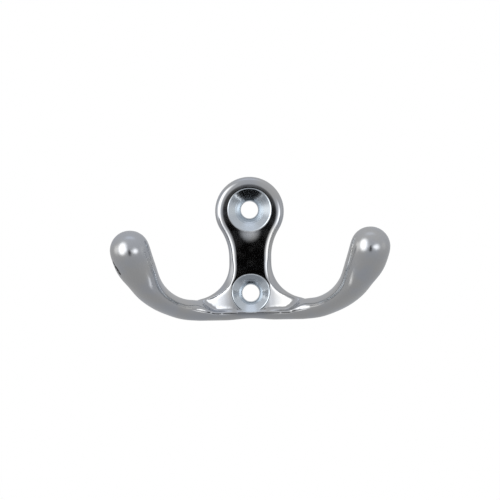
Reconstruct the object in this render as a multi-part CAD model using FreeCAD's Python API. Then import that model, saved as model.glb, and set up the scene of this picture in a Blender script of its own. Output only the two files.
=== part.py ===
import FreeCAD, Part
import math
import os

# Double robe hook, one chrome-plated zinc die casting.
# Millimetres and degrees. X runs along the two arms, Z is up and the front faces -Y.
# The wall plane is Y = 0 and the origin lies on it, midway between the two screw holes.

# Screw holes
hole_pitch = 23.0
screw_hole_d = 4.75
upper_countersink_d = 11.7
lower_countersink_d = 10.5
countersink_angle = 100.0

# Screw plate
plate_thickness = 4.2
plate_edge_round = 1.7
head_d = 19.0
head_below_hole = 0.4
neck_width = 11.6
neck_top_z = -1.6
neck_bottom_z = -3.3
flare_radius = 9.7
flare_angle = 80.0
shoulder_radius = 2.6

# The foot's front falls back to both sides, on a wide round that leans out over the neck
crown_radius = 38.0
crown_lean = 4.5
crown_touch_z = -14.0

# The bevel round each crook, which widens towards the arm
bevel_width = 1.3
bevel_shift = 0.9
bevel_angle = 45.0

# Front view of the arms: the crook between neck and arm, and the edge below it
crook_centre_x = 15.6
crook_centre_z = -3.95
crook_radius = 9.15
crook_end_angle = 75.0
arm_straight = 8.8
foot_z = -19.0
foot_dip = 0.45
foot_dip_reach = 7.0

# The bar along the foot that joins the arms
root_height = 2.6
root_depth = 4.4
root_sunk = 0.1
bar_half_length = 10.0
bar_rise_end = 15.0

# Thickness of the arms and how far they stand out from the wall
arm_root_width = 5.8
arm_swell_start = 0.12
arm_swell_end = 0.88
bulb_d = 10.7
reach = 23.0
reach_start = 13.0

# The ridge along the front of the arms, which leans to the crook, and the flat strip inside it
arm_ridge_lean = 0.22
ribbon_turn_root = 6.0
ribbon_turn_crook = 40.0
ribbon_turn_arm = 24.0
ribbon_share_root = 0.6
ribbon_share_crook = 0.79
ribbon_share_arm = 0.9
ribbon_fade_from = 0.65
ribbon_sharpness = 8.0

# How finely the arms are sectioned, and the cutters' spare size
root_stations = 8
crook_stations = 10
bulb_stations = 5
bulb_last_latitude = 82.0
section_points = 32
sections_per_face = 5
slope_step = 0.2
cutter_size = 100.0

front_y = -plate_thickness
upper_hole_z = hole_pitch / 2
lower_hole_z = -hole_pitch / 2


def blend(low, high, share):
    """A value that leaves low and reaches high with no slope at either end."""
    share = min(1.0, max(0.0, share))
    return low + (high - low) * share * share * (3 - 2 * share)


def point_on(centre_x, centre_z, radius, angle):
    """A point of a circle in the wall plane, with angle measured from +X towards +Z."""
    turn = math.radians(angle)
    return FreeCAD.Vector(centre_x + radius * math.cos(turn), 0, centre_z + radius * math.sin(turn))


def mirrored(point):
    return FreeCAD.Vector(-point.x, point.y, point.z)


def make_plate():
    """Round head, waist and flared foot: rounded front edge, crowned foot, and a bevel round each crook."""
    head_radius = head_d / 2
    head_z = upper_hole_z - head_below_hole
    half_neck = neck_width / 2
    rise = head_z - neck_top_z
    waist_radius = (half_neck ** 2 + rise ** 2 - head_radius ** 2) / (2 * (head_radius - half_neck))
    waist_x = half_neck + waist_radius
    waist_angle = math.degrees(math.atan2(rise, -waist_x))
    flare_x = half_neck + flare_radius

    head_top = FreeCAD.Vector(0, 0, head_z + head_radius)
    head_end = point_on(waist_x, neck_top_z, waist_radius, waist_angle)
    waist_middle = point_on(waist_x, neck_top_z, waist_radius, (waist_angle + 180) / 2)
    neck_top = FreeCAD.Vector(half_neck, 0, neck_top_z)
    neck_bottom = FreeCAD.Vector(half_neck, 0, neck_bottom_z)
    flare_middle = point_on(flare_x, neck_bottom_z, flare_radius, 180 + flare_angle / 2)
    flare_end = point_on(flare_x, neck_bottom_z, flare_radius, 180 + flare_angle)
    shoulder_x = flare_x + (flare_radius + shoulder_radius) * math.cos(math.radians(180 + flare_angle))
    shoulder_z = neck_bottom_z + (flare_radius + shoulder_radius) * math.sin(math.radians(180 + flare_angle))
    shoulder_side = point_on(shoulder_x, shoulder_z, shoulder_radius, (flare_angle - 90) / 2)
    foot_end = point_on(shoulder_x, shoulder_z, shoulder_radius, -90)

    edges = [
        Part.Arc(mirrored(head_end), head_top, head_end).toShape(),
        Part.Arc(head_end, waist_middle, neck_top).toShape(),
        Part.LineSegment(neck_top, neck_bottom).toShape(),
        Part.Arc(neck_bottom, flare_middle, flare_end).toShape(),
        Part.Arc(flare_end, shoulder_side, foot_end).toShape(),
        Part.LineSegment(foot_end, mirrored(foot_end)).toShape(),
        Part.Arc(mirrored(foot_end), mirrored(shoulder_side), mirrored(flare_end)).toShape(),
        Part.Arc(mirrored(flare_end), mirrored(flare_middle), mirrored(neck_bottom)).toShape(),
        Part.LineSegment(mirrored(neck_bottom), mirrored(neck_top)).toShape(),
        Part.Arc(mirrored(neck_top), mirrored(waist_middle), mirrored(head_end)).toShape(),
    ]
    outline = Part.Wire(Part.__sortEdges__(edges))
    plate = Part.Face(outline).extrude(FreeCAD.Vector(0, front_y, 0))
    front_edges = [edge for edge in plate.Edges if abs(edge.CenterOfMass.y - front_y) < 1e-6]
    plate = plate.makeFillet(plate_edge_round, front_edges)

    lean = math.radians(crown_lean)
    crown_axis = FreeCAD.Vector(0, -math.sin(lean), math.cos(lean))
    inwards = FreeCAD.Vector(0, math.cos(lean), math.sin(lean))
    crown_foot = FreeCAD.Vector(0, front_y, crown_touch_z) + inwards * crown_radius - crown_axis * cutter_size
    plate = plate.common(Part.makeCylinder(crown_radius, 2 * cutter_size, crown_foot, crown_axis))

    bevel_tip = (flare_radius + bevel_width) / math.tan(math.radians(bevel_angle))
    for side in (-flare_x, flare_x):
        centre = FreeCAD.Vector(side, front_y + bevel_tip, neck_bottom_z - bevel_shift)
        mouth_radius = 2 * (flare_radius + bevel_width)
        plate = plate.cut(Part.makeCone(0, mouth_radius, 2 * bevel_tip, centre, FreeCAD.Vector(0, -1, 0)))
    return plate


def section(centre, across, ahead, width, depth, ridge_lean, ribbon_turn, ribbon_share):
    """Points of a closed section: a leaning ellipse with one side flattened, fitted into width by depth."""
    turn = math.radians(ribbon_turn)
    flat_radius = ribbon_share / math.hypot(math.cos(turn) / width, math.sin(turn) / depth)
    raw = []
    for step in range(section_points):
        angle = 2 * math.pi * step / section_points - math.pi / 2
        ellipse = math.hypot(math.cos(angle) / width, math.sin(angle) / depth)
        flat = max(0.0, math.cos(angle - turn)) / flat_radius
        radius = (ellipse ** ribbon_sharpness + flat ** ribbon_sharpness) ** (-1 / ribbon_sharpness)
        raw.append((radius * (math.cos(angle) + ridge_lean * math.sin(angle)), radius * math.sin(angle)))
    low_n, high_n = min(n for n, b in raw), max(n for n, b in raw)
    low_b, high_b = min(b for n, b in raw), max(b for n, b in raw)
    points = []
    for n, b in raw:
        n = width * ((n - low_n) / (high_n - low_n) - 0.5)
        b = depth * ((b - low_b) / (high_b - low_b) - 0.5)
        points.append(centre + across * n + ahead * b)
    return points


def skin(sections):
    """Solid with one smooth face through closed sections of equally many points, and flat ends."""
    count = len(sections[0])
    rings = []
    for points in sections:
        ring = Part.BSplineCurve()
        ring.interpolate(Points=points, PeriodicFlag=True, Parameters=[i / count for i in range(count + 1)])
        rings.append(ring)
    places = [0.0]
    for before, after in zip(sections, sections[1:]):
        gaps = [a.distanceToPoint(b) for a, b in zip(before, after)]
        places.append(places[-1] + sum(gaps) / count)
    rows = []
    for poles in zip(*(ring.getPoles() for ring in rings)):
        row = Part.BSplineCurve()
        row.interpolate(Points=list(poles), Parameters=places)
        rows.append(row)
    surface = Part.BSplineSurface()
    poles = [list(column) for column in zip(*(row.getPoles() for row in rows))]
    surface.buildFromPolesMultsKnots(
        poles, rows[0].getMultiplicities(), rings[0].getMultiplicities(),
        rows[0].getKnots(), rings[0].getKnots(), False, True, rows[0].Degree, rings[0].Degree)
    faces = [Part.Face(Part.Wire([ring.toShape()])) for ring in (rings[0], rings[-1])]
    cuts = places[:-1:sections_per_face] + places[-1:]
    for start, end in zip(cuts, cuts[1:]):
        faces.append(surface.toShape(start, end, 0.0, 0.5))
        faces.append(surface.toShape(start, end, 0.5, 1.0))
    shell = Part.makeShell(faces)
    shell.sewShape()
    return Part.makeSolid(shell)


def arm_stations():
    """Front-view edges of the right arm from the middle of the foot to the bulb's widest place."""
    stations = []
    crook_low_z = crook_centre_z - crook_radius
    for step in range(root_stations):
        share = step / root_stations
        x = crook_centre_x * share
        risen = (x - bar_half_length) / (bar_rise_end - bar_half_length)
        upper = blend(foot_z + root_height, crook_low_z, risen)
        lower = foot_z + blend(foot_dip, 0.0, x / foot_dip_reach)
        stations.append((FreeCAD.Vector(x, 0, upper), FreeCAD.Vector(x, 0, lower)))
    arc_length = crook_radius * math.radians(crook_end_angle)
    crook_length = arc_length + arm_straight
    for step in range(crook_stations + 1):
        along = crook_length * step / crook_stations
        turn = min(along, arc_length) / crook_radius
        out = FreeCAD.Vector(math.sin(turn), 0, -math.cos(turn))
        ahead = FreeCAD.Vector(math.cos(turn), 0, math.sin(turn))
        inner = FreeCAD.Vector(crook_centre_x, 0, crook_centre_z) + out * crook_radius
        inner = inner + ahead * max(0.0, along - arc_length)
        swell = (along / crook_length - arm_swell_start) / (arm_swell_end - arm_swell_start)
        width = blend(arm_root_width, bulb_d, swell)
        stations.append((inner, inner + out * width))
    return stations


def make_bow():
    """Both arms in one sweep of sections, from the tip of one bulb to the tip of the other."""
    stations = arm_stations()
    middles = [(upper + lower) * 0.5 for upper, lower in stations]
    lengths = [0.0]
    for before, after in zip(middles, middles[1:]):
        lengths.append(lengths[-1] + before.distanceToPoint(after))
    total = lengths[-1]
    root_middle_y = root_sunk - root_depth / 2

    def depth_at(length):
        return blend(root_depth, bulb_d, length / total)

    def middle_y(length):
        return blend(root_middle_y, -reach, (length - reach_start) / (total + bulb_d / 2 - reach_start))

    half = []
    for (upper, lower), middle, length in zip(stations, middles, lengths):
        across = (upper - lower).normalize()
        along = FreeCAD.Vector(across.z, 0, -across.x)
        rise = middle_y(length - slope_step) - middle_y(length + slope_step)
        slope = math.atan(rise / (2 * slope_step))
        ahead = FreeCAD.Vector(0, -math.cos(slope), 0) - along * math.sin(slope)
        share = length / total
        risen = (length - bar_half_length) / (crook_centre_x - bar_half_length)
        turned = (length - crook_centre_x) / (total * ribbon_fade_from - crook_centre_x)
        faded = blend(0.0, 1.0, (share - ribbon_fade_from) / (1 - ribbon_fade_from))
        crook_turn = blend(ribbon_turn_root, ribbon_turn_crook, risen)
        crook_share = blend(ribbon_share_root, ribbon_share_crook, risen)
        centre = FreeCAD.Vector(middle.x, middle_y(length), middle.z)
        half.append({
            "centre": centre, "across": across, "ahead": ahead,
            "width": upper.distanceToPoint(lower), "depth": depth_at(length),
            "lean": arm_ridge_lean * (1 - faded),
            "turn": blend(crook_turn, ribbon_turn_arm, turned),
            "share": blend(crook_share, ribbon_share_arm, turned) + faded,
        })
    last = half[-1]
    axis = last["across"].cross(last["ahead"])
    for step in range(bulb_stations):
        angle = math.radians(bulb_last_latitude) * (step + 1) / bulb_stations
        half.append({
            "centre": last["centre"] + axis * (bulb_d / 2 * math.sin(angle)),
            "across": last["across"], "ahead": last["ahead"],
            "width": bulb_d * math.cos(angle), "depth": bulb_d * math.cos(angle),
            "lean": last["lean"],
            "turn": last["turn"], "share": last["share"],
        })

    right = [section(*station.values()) for station in half]
    left = []
    for station in half[:0:-1]:
        flipped = dict(station)
        for name in ("centre", "across", "ahead"):
            flipped[name] = mirrored(station[name])
        left.append(section(*flipped.values()))
    return skin(left + right)


def countersunk_hole(hole_z, countersink_d):
    """Cutter for a screw hole through the plate, with its cone from the front face."""
    bore = Part.makeCylinder(screw_hole_d / 2, cutter_size,
                             FreeCAD.Vector(0, cutter_size / 2, hole_z), FreeCAD.Vector(0, -1, 0))
    slant = math.tan(math.radians(countersink_angle / 2))
    cone_depth = (countersink_d - screw_hole_d) / 2 / slant
    mouth_d = countersink_d + 2 * plate_thickness * slant
    cone = Part.makeCone(screw_hole_d / 2, mouth_d / 2, cone_depth + plate_thickness,
                         FreeCAD.Vector(0, front_y + cone_depth, hole_z), FreeCAD.Vector(0, -1, 0))
    return bore.fuse(cone)


os.makedirs("parts", exist_ok=True)

plate = make_plate()
bow = make_bow()
body = plate.fuse(bow)
behind_wall = Part.makeBox(cutter_size, cutter_size, cutter_size,
                           FreeCAD.Vector(-cutter_size / 2, 0, -cutter_size / 2))
body = body.cut(behind_wall)
body = body.cut(countersunk_hole(upper_hole_z, upper_countersink_d))
body = body.cut(countersunk_hole(lower_hole_z, lower_countersink_d))
body.exportStep("parts/hook_body.step")
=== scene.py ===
import bmesh
import bpy
import math
from mathutils import Matrix, Vector, noise


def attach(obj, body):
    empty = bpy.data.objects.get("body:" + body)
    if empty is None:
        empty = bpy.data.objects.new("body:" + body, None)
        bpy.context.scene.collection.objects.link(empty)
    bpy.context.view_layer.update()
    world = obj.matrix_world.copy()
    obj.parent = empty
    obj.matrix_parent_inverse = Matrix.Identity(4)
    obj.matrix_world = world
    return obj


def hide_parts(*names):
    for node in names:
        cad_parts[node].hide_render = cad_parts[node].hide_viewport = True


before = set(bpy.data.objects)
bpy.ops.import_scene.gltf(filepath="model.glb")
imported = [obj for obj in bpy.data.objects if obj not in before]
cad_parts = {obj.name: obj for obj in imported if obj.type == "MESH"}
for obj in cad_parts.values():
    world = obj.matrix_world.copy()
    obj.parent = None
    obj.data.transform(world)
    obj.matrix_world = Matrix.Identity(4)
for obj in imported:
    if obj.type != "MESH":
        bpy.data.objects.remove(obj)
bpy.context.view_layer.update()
MM = 0.001

# The casting: one zinc die casting that carries plate, waist, arms and bulbs.
# It was barrelled and polished before plating, so every edge is a little soft.
# The solid's own skin is made even and is then polished over its edges.
skin_pitch = 0.24 * MM
coarse_pitch = 0.25 * MM
cast_fillet = 0.6 * MM
weld_gap = 0.002 * MM
polish_rounds = 12

casting_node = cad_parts["hook_body"]
rough = bpy.data.objects.new("hook_casting_rough", casting_node.data.copy())
bpy.context.scene.collection.objects.link(rough)
skin = bmesh.new()
skin.from_mesh(rough.data)
bmesh.ops.remove_doubles(skin, verts=skin.verts, dist=weld_gap)
skin.to_mesh(rough.data)
skin.free()
steps = ((coarse_pitch, cast_fillet), (coarse_pitch, -cast_fillet), (skin_pitch, 0))
for step, (pitch, swell) in enumerate(steps):
    even = rough.modifiers.new(f"even_skin_{step}", "REMESH")
    even.mode = "VOXEL"
    even.voxel_size = pitch
    shift = rough.modifiers.new(f"fillet_{step}", "DISPLACE")
    shift.mid_level = 0.0
    shift.strength = swell
polish = rough.modifiers.new("polish", "SMOOTH")
polish.factor = 0.5
polish.iterations = polish_rounds
evaluated = rough.evaluated_get(bpy.context.evaluated_depsgraph_get())
casting = bpy.data.objects.new("hook_casting", bpy.data.meshes.new_from_object(evaluated))
bpy.context.scene.collection.objects.link(casting)
bpy.data.objects.remove(rough)

# Hand polishing on a wheel: it blends the saddles between the foot and the arms and runs out
# along the arms. The countersinks are turned after it, so their rims stay crisp.
saddles = [Vector((hand * 12.6 * MM, -2.6 * MM, -13.6 * MM)) for hand in (-1, 1)]
saddle_reach = 3.6 * MM
wheel_rounds = 80
arm_start = 10 * MM
arm_share = 0.6
sink_rims = [(11.5 * MM, 5.85 * MM), (-11.5 * MM, 5.25 * MM)]
sink_floor = -1.2 * MM
rim_guard = 0.6 * MM
touched = casting.vertex_groups.new(name="touched")
for vertex in casting.data.vertices:
    share = 2 * max(1 - (vertex.co - saddle).length / saddle_reach for saddle in saddles)
    share = max(share, arm_share * min(1.0, abs(vertex.co.x) / arm_start - 1))
    if share > 0:
        touched.add([vertex.index], min(1.0, share), "REPLACE")
crisp = casting.vertex_groups.new(name="crisp")
for vertex in casting.data.vertices:
    for height, radius in sink_rims:
        off_rim = abs(math.hypot(vertex.co.x, vertex.co.z - height) - radius)
        if off_rim < 2 * rim_guard and vertex.co.y < sink_floor:
            crisp.add([vertex.index], min(1.0, 2 - off_rim / rim_guard), "REPLACE")
wheel = casting.modifiers.new("wheel", "SMOOTH")
wheel.vertex_group = "touched"
wheel.factor = 0.5
wheel.iterations = wheel_rounds
turning = casting.modifiers.new("turned_rims", "SHRINKWRAP")
turning.target = casting_node
turning.vertex_group = "crisp"
evaluated = casting.evaluated_get(bpy.context.evaluated_depsgraph_get())
casting.data = bpy.data.meshes.new_from_object(evaluated)
casting.modifiers.clear()

# The skin: a polished casting is faintly wavy, the countersinks carry fine turning rings, and
# the lower lip of the upper one is rubbed soft. The plating is knocked off in small dark dents
# along the left arm's outer edge and at one spot beside the lower hole.
plate_front = -4.2 * MM
wave_length = 6.0 * MM
wave_depth = 0.012 * MM
bore_radius = 2.375 * MM
ring_pitch = 0.7 * MM
ring_depth = 0.003 * MM
lip = Vector((0, plate_front, sink_rims[0][0] - sink_rims[0][1]))
lip_reach = 5.0 * MM
lip_depth = 0.18 * MM
worn_spots = [
    (Vector((-36.2, -22.3, -2.6)) * MM, 0.75 * MM),
    (Vector((-35.7, -22.2, -3.7)) * MM, 0.95 * MM),
    (Vector((-35.25, -22.1, -4.5)) * MM, 0.90 * MM),
    (Vector((-34.75, -21.7, -5.3)) * MM, 0.75 * MM),
    (Vector((11.0, -2.5, -15.54)) * MM, 0.32 * MM),
]
dent_share = 0.2
normals = [vertex.normal.copy() for vertex in casting.data.vertices]
for vertex, normal in zip(casting.data.vertices, normals):
    sunk = wave_depth * (0.5 + 0.5 * noise.noise(vertex.co / wave_length))
    for height, radius in sink_rims:
        gap = math.hypot(vertex.co.x, vertex.co.z - height)
        if bore_radius + ring_pitch / 2 < gap < radius - ring_pitch / 2 and vertex.co.y < sink_floor:
            sunk += ring_depth * (1 + math.sin(2 * math.pi * gap / ring_pitch))
    sunk += lip_depth * max(0.0, 1 - (vertex.co - lip).length / lip_reach) ** 3
    for spot, radius in worn_spots:
        gap = (vertex.co - spot).length
        if gap < radius:
            sunk += dent_share * radius * (1 - (gap / radius) ** 2)
    vertex.co -= normal * sunk
for face in casting.data.polygons:
    face.use_smooth = True


def linear(hex_colour):
    """An sRGB hex colour as the linear RGBA that a shader socket takes."""
    channels = [int(hex_colour[i:i + 2], 16) / 255 for i in (1, 3, 5)]
    return [c / 12.92 if c <= 0.04045 else ((c + 0.055) / 1.055) ** 2.4 for c in channels] + [1.0]


def add_node(tree, kind, settings=None, inputs=None):
    """Add a node, set its properties, and fill or link its inputs."""
    node = tree.nodes.new(kind)
    for name, value in (settings or {}).items():
        setattr(node, name, value)
    for name, value in (inputs or {}).items():
        if isinstance(value, bpy.types.NodeSocket):
            tree.links.new(value, node.inputs[name])
        else:
            node.inputs[name].default_value = value
    return node


# Bright chromium plate over polished zinc: a mirror with a cold, faintly blue grey, a finely turned satin
# finish in the two countersinks, whose paler, bluer colour there is a painted sheen, and bare dark zinc
# where the plate is gone.
chrome = bpy.data.materials.new("chrome_plated_zinc")
chrome.use_nodes = True
tree = chrome.node_tree
tree.nodes.clear()
place = add_node(tree, "ShaderNodeTexCoord").outputs["Object"]


def scaled_noise(feature, detail):
    """Noise whose features are about as long as the given length."""
    return add_node(tree, "ShaderNodeTexNoise", inputs={
        "Vector": place, "Scale": 1 / feature, "Detail": detail}).outputs["Fac"]


def ramp(value, low, high, start, end):
    """Take a value smoothly from one range to another."""
    return add_node(tree, "ShaderNodeMapRange", {"interpolation_type": "SMOOTHSTEP"}, {
        "Value": value, "From Min": low, "From Max": high, "To Min": start, "To Max": end}).outputs["Result"]


def combine(operation, first, second):
    """One mathematical step on two values."""
    return add_node(tree, "ShaderNodeMath", {"operation": operation}, {0: first, 1: second}).outputs["Value"]


def blend_colour(share, first, second):
    """Mix two colours by a share."""
    return add_node(tree, "ShaderNodeMix", {"data_type": "RGBA"}, {0: share, 6: first, 7: second}).outputs[2]


def distance_to(point, vector):
    """How far a place is from a fixed point."""
    return add_node(tree, "ShaderNodeVectorMath", {"operation": "DISTANCE"}, {
        0: vector, 1: point}).outputs["Value"]


rim_blur = 0.25 * MM
end_haze = 0.16
turned_haze = 0.13
lip_haze = 0.34
back_haze = 0.35
bare_haze = 0.7
bare_loss = 0.8
skin_grain = 0.0003 * MM
axes = add_node(tree, "ShaderNodeSeparateXYZ", inputs={"Vector": place}).outputs
depth = axes["Y"]
side = combine("ABSOLUTE", axes["X"], 0.0)
flat_place = add_node(tree, "ShaderNodeVectorMath", {"operation": "MULTIPLY"}, {
    0: place, 1: (1, 0, 1)}).outputs["Vector"]
behind_front = ramp(depth, sink_floor, sink_floor + 0.3 * MM, 1.0, 0.0)
turned = 0.0
for height, radius in sink_rims:
    inside = ramp(distance_to((0, 0, height), flat_place), radius, radius + rim_blur, 1.0, 0.0)
    turned = combine("MAXIMUM", turned, combine("MULTIPLY", inside, behind_front))
ragged = scaled_noise(0.5 * MM, 3.0)
bare = 0.0
for spot, radius in worn_spots:
    reach = combine("ADD", distance_to(spot, place), combine("MULTIPLY", ragged, 0.8 * radius))
    bare = combine("MAXIMUM", bare, ramp(reach, radius, 1.3 * radius, 1.0, 0.0))
back = ramp(depth, -0.35 * MM, -0.1 * MM, 0.0, 1.0)
clouded = ramp(scaled_noise(7 * MM, 2.0), 0.35, 0.65, 0.0, 1.0)
tint = blend_colour(clouded, linear("#C4C7CC"), linear("#C8C8C7"))
# Painted sheen: the countersinks take a paler, bluer chrome colour that stands in for the light they catch;
# their satin roughness is real.
sink_painted_sheen_tint = blend_colour(turned, tint, linear("#D8E0E7"))
colour = blend_colour(bare, sink_painted_sheen_tint, linear("#1E1C1A"))
handled = ramp(side, 20 * MM, 31 * MM, 0.0, end_haze)
haze = combine("ADD", ramp(scaled_noise(2.5 * MM, 3.0), 0.3, 0.7, 0.05, 0.09), handled)
satin = combine("MAXIMUM", haze, combine("MULTIPLY", turned, turned_haze))
scuffed = combine("MAXIMUM", satin, ramp(distance_to(lip, place), 0.0, lip_reach, lip_haze, 0.0))
dull = combine("MAXIMUM", scuffed, combine("MULTIPLY", back, back_haze))
roughness = combine("MAXIMUM", dull, combine("MULTIPLY", bare, bare_haze))
metal = combine("SUBTRACT", 1.0, combine("MULTIPLY", bare, bare_loss))
skin_bump = add_node(tree, "ShaderNodeBump", inputs={
    "Height": scaled_noise(0.5 * MM, 2.0), "Strength": 1.0, "Distance": skin_grain})
plate_shader = add_node(tree, "ShaderNodeBsdfPrincipled", inputs={
    "Base Color": colour, "Metallic": metal, "Roughness": roughness, "Normal": skin_bump.outputs["Normal"]})
add_node(tree, "ShaderNodeOutputMaterial", inputs={"Surface": plate_shader.outputs["BSDF"]})
casting.data.materials.clear()
casting.data.materials.append(chrome)

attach(casting, "root")
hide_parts("hook_body")

# Camera: square on to the plate, half a metre off, turned a degree as in the photograph.
camera_distance = 480 * MM
pixel_at_plate = 0.2749 * MM
image_pixels = 500
view_x = -0.036 * MM
view_z = 0.377 * MM
photo_turn = math.radians(-1.0)
camera_data = bpy.data.cameras.new("camera")
camera = bpy.data.objects.new("camera", camera_data)
bpy.context.scene.collection.objects.link(camera)
camera_data.sensor_fit = "HORIZONTAL"
camera_data.angle = 2 * math.atan(pixel_at_plate * image_pixels / 2 / camera_distance)
camera_data.clip_start = 0.01
stand = Matrix.Translation((view_x, plate_front - camera_distance, view_z))
level = Matrix.Rotation(math.radians(90), 4, "X")
roll = Matrix.Rotation(photo_turn, 4, "Z")
camera.matrix_world = stand @ level @ roll
bpy.context.scene.camera = camera

# The studio: a white surround, and a plain white floor below the hook that takes its shadow.
scene = bpy.context.scene
scene.view_settings.view_transform = "Standard"
world = bpy.data.worlds.new("studio")
scene.world = world
world.use_nodes = True
tree = world.node_tree
tree.nodes.clear()
sky = add_node(tree, "ShaderNodeBackground", inputs={"Color": linear("#FFFFFF"), "Strength": 1.0})
add_node(tree, "ShaderNodeOutputWorld", inputs={"Surface": sky.outputs["Background"]})
floor_level = -450 * MM
floor_size = 3.0
floor_mesh = bpy.data.meshes.new("floor")
boards = bmesh.new()
bmesh.ops.create_grid(boards, x_segments=1, y_segments=1, size=floor_size)
bmesh.ops.translate(boards, verts=boards.verts, vec=(0, 0, floor_level))
boards.to_mesh(floor_mesh)
boards.free()
floor = bpy.data.objects.new("floor", floor_mesh)
scene.collection.objects.link(floor)
paint = bpy.data.materials.new("white_floor_paint")
paint.use_nodes = True
tree = paint.node_tree
tree.nodes.clear()
matt = add_node(tree, "ShaderNodeBsdfDiffuse", inputs={"Color": linear("#FFFFFF")})
add_node(tree, "ShaderNodeOutputMaterial", inputs={"Surface": matt.outputs["BSDF"]})
floor_mesh.materials.append(paint)

# Cards that only the metal sees: a closed grey tent that glows as painted light, a dark port round the lens,
# soft white screens at the sides, above and below, and under each countersink a small card that paints shade
# into the top of its cone.


def towards(azimuth, elevation):
    """Unit vector from the hook; azimuth 0 is the camera's side and grows to the right."""
    a, e = math.radians(azimuth), math.radians(elevation)
    return Vector((math.sin(a) * math.cos(e), -math.cos(a) * math.cos(e), math.sin(e)))


def stage_card(name, mesh, material):
    """Put a card into the studio that only reflections show."""
    card = bpy.data.objects.new(name, mesh)
    scene.collection.objects.link(card)
    mesh.materials.append(material)
    card.visible_camera = False
    card.visible_diffuse = False
    card.visible_shadow = False


def soft_card(name, azimuth, elevation, distance, width, height, colour, strength, edge, aim=Vector()):
    """A card seen from its face only, turned to its aim, that fades over the outer share of its size."""
    direction = towards(azimuth, elevation)
    centre = aim + direction * distance
    turn = (-direction).to_track_quat("Z", "Y")
    mesh = bpy.data.meshes.new(name)
    shape = bmesh.new()
    bmesh.ops.create_grid(shape, x_segments=1, y_segments=1, size=1.0)
    bmesh.ops.scale(shape, verts=shape.verts, vec=(width / 2, height / 2, 1))
    bmesh.ops.transform(shape, verts=shape.verts,
                        matrix=Matrix.Translation(centre) @ turn.to_matrix().to_4x4())
    shape.to_mesh(mesh)
    shape.free()
    material = bpy.data.materials.new(name)
    material.use_nodes = True
    card_tree = material.node_tree
    card_tree.nodes.clear()
    place = add_node(card_tree, "ShaderNodeTexCoord")
    local = add_node(card_tree, "ShaderNodeMapping", {"vector_type": "TEXTURE"}, {
        "Vector": place.outputs["Object"], "Location": centre,
        "Rotation": turn.to_euler(), "Scale": (width / 2, height / 2, 1)})
    radius = add_node(card_tree, "ShaderNodeVectorMath", {"operation": "LENGTH"}, {
        0: local.outputs["Vector"]})
    facing = add_node(card_tree, "ShaderNodeNewGeometry")
    face = add_node(card_tree, "ShaderNodeMath", {"operation": "SUBTRACT"}, {
        0: 1.0, 1: facing.outputs["Backfacing"]})
    fade = add_node(card_tree, "ShaderNodeMapRange", {"interpolation_type": "SMOOTHSTEP"}, {
        "Value": radius.outputs["Value"], "From Min": 1.0 - edge, "From Max": 1.0,
        "To Min": face.outputs["Value"], "To Max": 0.0})
    glow = add_node(card_tree, "ShaderNodeEmission", inputs={"Color": linear(colour), "Strength": strength})
    clear = add_node(card_tree, "ShaderNodeBsdfTransparent")
    mix = add_node(card_tree, "ShaderNodeMixShader", inputs={
        0: fade.outputs["Result"], 1: clear.outputs["BSDF"], 2: glow.outputs["Emission"]})
    add_node(card_tree, "ShaderNodeOutputMaterial", inputs={"Surface": mix.outputs["Shader"]})
    stage_card(name, mesh, material)


tent_radius = 1.2
tent_foot = floor_level + 2 * MM
tent_mesh = bpy.data.meshes.new("grey_tent")
tent = bmesh.new()
bmesh.ops.create_uvsphere(tent, u_segments=48, v_segments=32, radius=tent_radius)
for vertex in tent.verts:
    vertex.co.z = max(vertex.co.z, tent_foot)
tent.to_mesh(tent_mesh)
tent.free()
# The tent is no lit cloth: it glows, and its grey is painted light, brighter towards the top.
tent_glow_paint = bpy.data.materials.new("grey_tent_painted_glow")
tent_glow_paint.use_nodes = True
tree = tent_glow_paint.node_tree
tree.nodes.clear()
spot = add_node(tree, "ShaderNodeTexCoord")
direction = add_node(tree, "ShaderNodeVectorMath", {"operation": "NORMALIZE"}, {0: spot.outputs["Object"]})
height = add_node(tree, "ShaderNodeSeparateXYZ", inputs={"Vector": direction.outputs["Vector"]})
glow_by_height = add_node(tree, "ShaderNodeMapRange", inputs={
    "Value": height.outputs["Z"], "From Min": -1.0, "From Max": 1.0, "To Min": 0.44, "To Max": 0.66})
glow = add_node(tree, "ShaderNodeEmission", inputs={
    "Color": linear("#F8F9FC"), "Strength": glow_by_height.outputs["Result"]})
add_node(tree, "ShaderNodeOutputMaterial", inputs={"Surface": glow.outputs["Emission"]})
stage_card("grey_tent", tent_mesh, tent_glow_paint)
# Painted shade: a small card close below each hole darkens the top of its countersink in reflections, the
# upper one near black, the lower one grey.
shade_card_front = -6.4 * MM
shade_card_drop = 6.5 * MM
before_upper_hole = Vector((0, shade_card_front, sink_rims[0][0]))
before_lower_hole = Vector((0, shade_card_front, sink_rims[1][0]))
soft_card("dark_port", 0, -12, 0.6, 0.20, 0.46, "#060505", 1.0, 0.35)
soft_card("left_screen", -42, 10, 0.9, 1.16, 1.60, "#FFFFFF", 2.2, 0.7)
soft_card("right_screen", 32, -4, 0.9, 0.84, 0.62, "#FFFFFF", 2.1, 0.9)
soft_card("left_glow", -80, 4, 0.9, 0.80, 0.90, "#FFFFFF", 1.05, 0.9)
soft_card("right_glow", 80, 4, 0.9, 0.80, 0.90, "#FFFFFF", 0.65, 0.9)
soft_card("top_screen", 0, 78, 0.9, 1.1, 0.5, "#F2F6FF", 0.9, 0.8)
soft_card("upper_painted_shade_card", 0, -90, shade_card_drop, 0.014, 0.0065, "#080808", 1.0, 0.4, before_upper_hole)
soft_card("lower_painted_shade_card", 0, -90, shade_card_drop, 0.018, 0.0065, "#8C8E92", 1.0, 0.5, before_lower_hole)
soft_card("low_screen", 0, -55, 0.036, 0.034, 0.005, "#FFFFFF", 1.5, 0.7)
